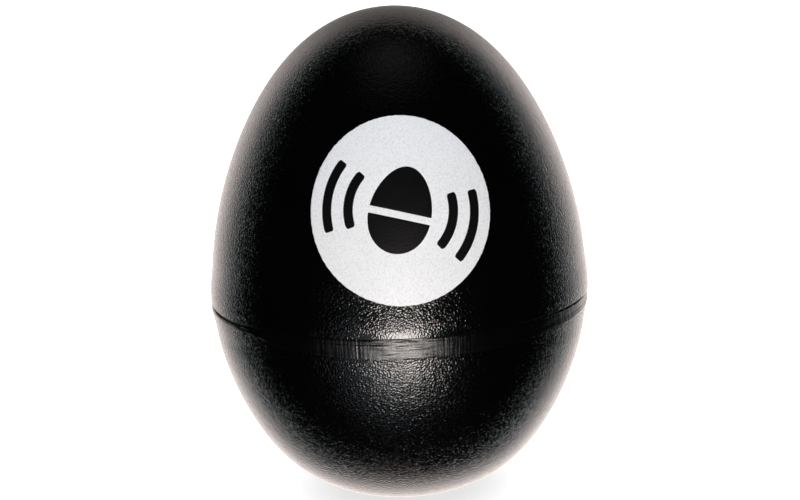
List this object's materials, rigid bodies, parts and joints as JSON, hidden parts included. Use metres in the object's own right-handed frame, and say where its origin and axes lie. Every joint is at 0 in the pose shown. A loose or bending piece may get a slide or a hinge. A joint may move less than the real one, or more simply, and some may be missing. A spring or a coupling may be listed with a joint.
{
  "type": "egg shaker",
  "caption": "Hollow plastic egg in two welded halves with a printed disc and loose steel balls inside, shaken by hand as a percussion instrument.",
  "frame": {"origin": "on the egg's axis in the parting plane where the two halves meet, which is also where a hand closes around it", "axes": "+Z along the egg's axis towards the narrow end; the printed disc faces -Y; +X to the right seen from the front"},
  "size_m": [0.0446, 0.0446, 0.0583],
  "materials": {
    "upper_shell": "black moulded plastic, fine spark-eroded grain, semi-gloss",
    "lower_shell": "black moulded plastic, fine spark-eroded grain, semi-gloss",
    "print_ink": "thin white pad-printed ink, satin",
    "ball_steel": "tumbled steel balls"
  },
  "bodies": {
    "shell": {"upper_shell": "upper_shell", "lower_shell": "lower_shell", "print_disc": "print_ink"},
    "loose_ball_01": {"ball_01": "ball_steel"},
    "loose_ball_02": {"ball_02": "ball_steel"},
    "loose_ball_03": {"ball_03": "ball_steel"},
    "loose_ball_04": {"ball_04": "ball_steel"},
    "loose_ball_05": {"ball_05": "ball_steel"},
    "loose_ball_06": {"ball_06": "ball_steel"},
    "loose_ball_07": {"ball_07": "ball_steel"},
    "loose_ball_08": {"ball_08": "ball_steel"},
    "loose_ball_09": {"ball_09": "ball_steel"},
    "loose_ball_10": {"ball_10": "ball_steel"},
    "loose_ball_11": {"ball_11": "ball_steel"},
    "loose_ball_12": {"ball_12": "ball_steel"},
    "loose_ball_13": {"ball_13": "ball_steel"},
    "loose_ball_14": {"ball_14": "ball_steel"},
    "loose_ball_15": {"ball_15": "ball_steel"},
    "loose_ball_16": {"ball_16": "ball_steel"},
    "loose_ball_17": {"ball_17": "ball_steel"},
    "loose_ball_18": {"ball_18": "ball_steel"},
    "loose_ball_19": {"ball_19": "ball_steel"},
    "loose_ball_20": {"ball_20": "ball_steel"},
    "loose_ball_21": {"ball_21": "ball_steel"},
    "loose_ball_22": {"ball_22": "ball_steel"},
    "loose_ball_23": {"ball_23": "ball_steel"},
    "loose_ball_24": {"ball_24": "ball_steel"},
    "loose_ball_25": {"ball_25": "ball_steel"},
    "loose_ball_26": {"ball_26": "ball_steel"},
    "loose_ball_27": {"ball_27": "ball_steel"},
    "loose_ball_28": {"ball_28": "ball_steel"},
    "loose_ball_29": {"ball_29": "ball_steel"},
    "loose_ball_30": {"ball_30": "ball_steel"},
    "loose_ball_31": {"ball_31": "ball_steel"},
    "loose_ball_32": {"ball_32": "ball_steel"},
    "loose_ball_33": {"ball_33": "ball_steel"},
    "loose_ball_34": {"ball_34": "ball_steel"},
    "loose_ball_35": {"ball_35": "ball_steel"},
    "loose_ball_36": {"ball_36": "ball_steel"},
    "loose_ball_37": {"ball_37": "ball_steel"}
  },
  "joints": [
    {"name": "ball_01_flight", "type": "slide", "parent": "shell", "child": "loose_ball_01", "axis": [0, 0, 1], "range_m": [0, 0.0495]},
    {"name": "ball_02_flight", "type": "slide", "parent": "shell", "child": "loose_ball_02", "axis": [0, 0, 1], "range_m": [0, 0.0482]},
    {"name": "ball_03_flight", "type": "slide", "parent": "shell", "child": "loose_ball_03", "axis": [0, 0, 1], "range_m": [0, 0.0482]},
    {"name": "ball_04_flight", "type": "slide", "parent": "shell", "child": "loose_ball_04", "axis": [0, 0, 1], "range_m": [0, 0.0482]},
    {"name": "ball_05_flight", "type": "slide", "parent": "shell", "child": "loose_ball_05", "axis": [0, 0, 1], "range_m": [0, 0.0482]},
    {"name": "ball_06_flight", "type": "slide", "parent": "shell", "child": "loose_ball_06", "axis": [0, 0, 1], "range_m": [0, 0.0482]},
    {"name": "ball_07_flight", "type": "slide", "parent": "shell", "child": "loose_ball_07", "axis": [0, 0, 1], "range_m": [0, 0.0482]},
    {"name": "ball_08_flight", "type": "slide", "parent": "shell", "child": "loose_ball_08", "axis": [0, 0, 1], "range_m": [0, 0.0438]},
    {"name": "ball_09_flight", "type": "slide", "parent": "shell", "child": "loose_ball_09", "axis": [0, 0, 1], "range_m": [0, 0.0438]},
    {"name": "ball_10_flight", "type": "slide", "parent": "shell", "child": "loose_ball_10", "axis": [0, 0, 1], "range_m": [0, 0.0438]},
    {"name": "ball_11_flight", "type": "slide", "parent": "shell", "child": "loose_ball_11", "axis": [0, 0, 1], "range_m": [0, 0.0438]},
    {"name": "ball_12_flight", "type": "slide", "parent": "shell", "child": "loose_ball_12", "axis": [0, 0, 1], "range_m": [0, 0.0438]},
    {"name": "ball_13_flight", "type": "slide", "parent": "shell", "child": "loose_ball_13", "axis": [0, 0, 1], "range_m": [0, 0.0438]},
    {"name": "ball_14_flight", "type": "slide", "parent": "shell", "child": "loose_ball_14", "axis": [0, 0, 1], "range_m": [0, 0.0438]},
    {"name": "ball_15_flight", "type": "slide", "parent": "shell", "child": "loose_ball_15", "axis": [0, 0, 1], "range_m": [0, 0.0438]},
    {"name": "ball_16_flight", "type": "slide", "parent": "shell", "child": "loose_ball_16", "axis": [0, 0, 1], "range_m": [0, 0.0438]},
    {"name": "ball_17_flight", "type": "slide", "parent": "shell", "child": "loose_ball_17", "axis": [0, 0, 1], "range_m": [0, 0.0438]},
    {"name": "ball_18_flight", "type": "slide", "parent": "shell", "child": "loose_ball_18", "axis": [0, 0, 1], "range_m": [0, 0.0438]},
    {"name": "ball_19_flight", "type": "slide", "parent": "shell", "child": "loose_ball_19", "axis": [0, 0, 1], "range_m": [0, 0.0438]},
    {"name": "ball_20_flight", "type": "slide", "parent": "shell", "child": "loose_ball_20", "axis": [0, 0, 1], "range_m": [0, 0.0338]},
    {"name": "ball_21_flight", "type": "slide", "parent": "shell", "child": "loose_ball_21", "axis": [0, 0, 1], "range_m": [0, 0.0338]},
    {"name": "ball_22_flight", "type": "slide", "parent": "shell", "child": "loose_ball_22", "axis": [0, 0, 1], "range_m": [0, 0.0338]},
    {"name": "ball_23_flight", "type": "slide", "parent": "shell", "child": "loose_ball_23", "axis": [0, 0, 1], "range_m": [0, 0.0338]},
    {"name": "ball_24_flight", "type": "slide", "parent": "shell", "child": "loose_ball_24", "axis": [0, 0, 1], "range_m": [0, 0.0338]},
    {"name": "ball_25_flight", "type": "slide", "parent": "shell", "child": "loose_ball_25", "axis": [0, 0, 1], "range_m": [0, 0.0338]},
    {"name": "ball_26_flight", "type": "slide", "parent": "shell", "child": "loose_ball_26", "axis": [0, 0, 1], "range_m": [0, 0.0338]},
    {"name": "ball_27_flight", "type": "slide", "parent": "shell", "child": "loose_ball_27", "axis": [0, 0, 1], "range_m": [0, 0.0338]},
    {"name": "ball_28_flight", "type": "slide", "parent": "shell", "child": "loose_ball_28", "axis": [0, 0, 1], "range_m": [0, 0.0338]},
    {"name": "ball_29_flight", "type": "slide", "parent": "shell", "child": "loose_ball_29", "axis": [0, 0, 1], "range_m": [0, 0.0338]},
    {"name": "ball_30_flight", "type": "slide", "parent": "shell", "child": "loose_ball_30", "axis": [0, 0, 1], "range_m": [0, 0.0338]},
    {"name": "ball_31_flight", "type": "slide", "parent": "shell", "child": "loose_ball_31", "axis": [0, 0, 1], "range_m": [0, 0.0338]},
    {"name": "ball_32_flight", "type": "slide", "parent": "shell", "child": "loose_ball_32", "axis": [0, 0, 1], "range_m": [0, 0.0338]},
    {"name": "ball_33_flight", "type": "slide", "parent": "shell", "child": "loose_ball_33", "axis": [0, 0, 1], "range_m": [0, 0.0338]},
    {"name": "ball_34_flight", "type": "slide", "parent": "shell", "child": "loose_ball_34", "axis": [0, 0, 1], "range_m": [0, 0.0338]},
    {"name": "ball_35_flight", "type": "slide", "parent": "shell", "child": "loose_ball_35", "axis": [0, 0, 1], "range_m": [0, 0.0338]},
    {"name": "ball_36_flight", "type": "slide", "parent": "shell", "child": "loose_ball_36", "axis": [0, 0, 1], "range_m": [0, 0.0338]},
    {"name": "ball_37_flight", "type": "slide", "parent": "shell", "child": "loose_ball_37", "axis": [0, 0, 1], "range_m": [0, 0.0338]}
  ]
}
